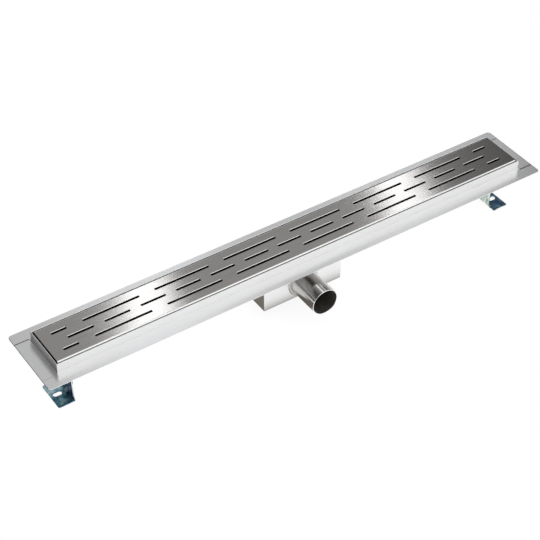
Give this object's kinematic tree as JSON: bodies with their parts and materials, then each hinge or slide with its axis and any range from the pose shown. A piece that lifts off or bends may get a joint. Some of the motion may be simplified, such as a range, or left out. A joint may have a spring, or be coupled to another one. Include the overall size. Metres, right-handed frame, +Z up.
{
  "type": "linear shower drain",
  "caption": "Stainless linear shower drain: flanged channel with a flush slotted grate, a water trap with a side outlet spigot, and height-adjustable feet.",
  "frame": {"origin": "on the floor plane under the feet, midway between the two fixing slots of the feet", "axes": "+X along the channel, +Y away from the outlet spigot, +Z up; the outlet points to -Y"},
  "size_m": [0.8, 0.1445, 0.0908],
  "materials": {
    "tray_steel": "bright cold-rolled stainless sheet",
    "grate_steel": "brushed stainless, grain along the plate",
    "pipe_steel": "welded stainless tube, half-bright",
    "zinc_plate": "zinc plated, blue passivated",
    "seal_rubber": "matt black rubber"
  },
  "bodies": {
    "drain": {"channel_body": "tray_steel", "end_plate_left": "tray_steel", "end_plate_right": "tray_steel", "trap_box": "tray_steel", "trap_weir": "tray_steel", "outlet_pipe": "pipe_steel", "siphon_plate": "tray_steel", "siphon_grip": "tray_steel", "grate_plate": "grate_steel", "grate_saddle_1": "grate_steel", "grate_saddle_2": "grate_steel", "grate_saddle_3": "grate_steel", "grate_saddle_4": "grate_steel", "siphon_seal": "seal_rubber", "foot_bracket_left": "zinc_plate", "foot_screw_left": "zinc_plate", "foot_washer_left": "zinc_plate", "foot_nut_left": "zinc_plate", "foot_bracket_right": "zinc_plate", "foot_screw_right": "zinc_plate", "foot_washer_right": "zinc_plate", "foot_nut_right": "zinc_plate"},
    "foot_left": {"foot_left": "zinc_plate"},
    "foot_right": {"foot_right": "zinc_plate"}
  },
  "joints": [
    {"name": "foot_left_height", "type": "slide", "parent": "drain", "child": "foot_left", "axis": [0, 0, 1], "range_m": [-0.01, 0.008]},
    {"name": "foot_right_height", "type": "slide", "parent": "drain", "child": "foot_right", "axis": [0, 0, 1], "range_m": [-0.01, 0.008]}
  ]
}
